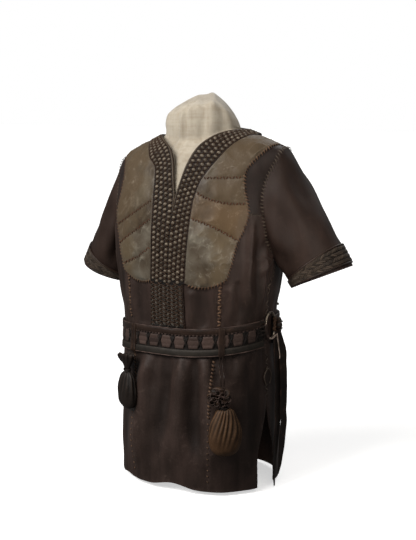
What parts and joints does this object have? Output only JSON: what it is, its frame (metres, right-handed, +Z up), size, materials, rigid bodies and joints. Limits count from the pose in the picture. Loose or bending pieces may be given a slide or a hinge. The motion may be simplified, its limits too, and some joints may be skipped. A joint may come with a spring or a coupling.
{
  "type": "belted leather tunic vest with pouches on a limbless dress form",
  "caption": "Short-sleeved dark leather tunic with chest patches, braided neck and cuffs and a laced belt with pouches, worn on a linen-covered limbless dress form with a stand.",
  "frame": {"origin": "centre of the stand's base, on the surface that it stands on", "axes": "+Z up; the garment's front faces -Y; +X is the wearer's left"},
  "size_m": [0.6448, 0.2913, 0.822],
  "materials": {
    "dark_leather": "satin, brushed dark brown leather",
    "chest_leather": "worn olive brown leather, soft sheen",
    "braid_leather": "braided strips, light on dark",
    "binding_leather": "satin, thin rolled edge",
    "belt_leather": "satin, nearly black leather",
    "pouch_leather": "matte tan brown suede",
    "linen": "matte natural linen",
    "steel": "dull iron ring",
    "stand_paint": "satin black stand"
  },
  "bodies": {
    "root": {"back": "dark_leather", "belly_braid": "braid_leather", "belt_band": "belt_leather", "belt_hanger_front": "belt_leather", "belt_hanger_side": "belt_leather", "belt_knot": "belt_leather", "belt_laced_strip": "belt_leather", "belt_lower_strip": "belt_leather", "belt_ring": "steel", "belt_tail_front": "belt_leather", "belt_tail_rear": "belt_leather", "belt_upper_strip": "belt_leather", "chest_patch_left_1": "chest_leather", "chest_patch_left_2": "chest_leather", "chest_patch_left_3": "chest_leather", "chest_patch_left_4": "chest_leather", "chest_patch_right_1": "chest_leather", "chest_patch_right_2": "chest_leather", "chest_patch_right_3": "chest_leather", "chest_patch_right_4": "chest_leather", "cuff_left": "braid_leather", "cuff_right": "braid_leather", "dress_form": "linen", "front": "dark_leather", "front_pouch_bag": "pouch_leather", "front_pouch_ruffle": "belt_leather", "front_thong_left": "belt_leather", "front_thong_right": "belt_leather", "neck_binding_back": "binding_leather", "neck_binding_left": "binding_leather", "neck_binding_right": "binding_leather", "neck_braid_back": "braid_leather", "neck_braid_left": "braid_leather", "neck_braid_right": "braid_leather", "side_front_left": "dark_leather", "side_front_right": "dark_leather", "side_pouch_bag": "belt_leather", "side_pouch_ruffle": "belt_leather", "sleeve_left": "dark_leather", "sleeve_right": "dark_leather", "slit_tab_left": "dark_leather", "slit_tab_right": "dark_leather", "stand_base": "stand_paint", "stand_stem": "stand_paint", "yoke_left": "dark_leather", "yoke_right": "dark_leather"}
  },
  "joints": []
}
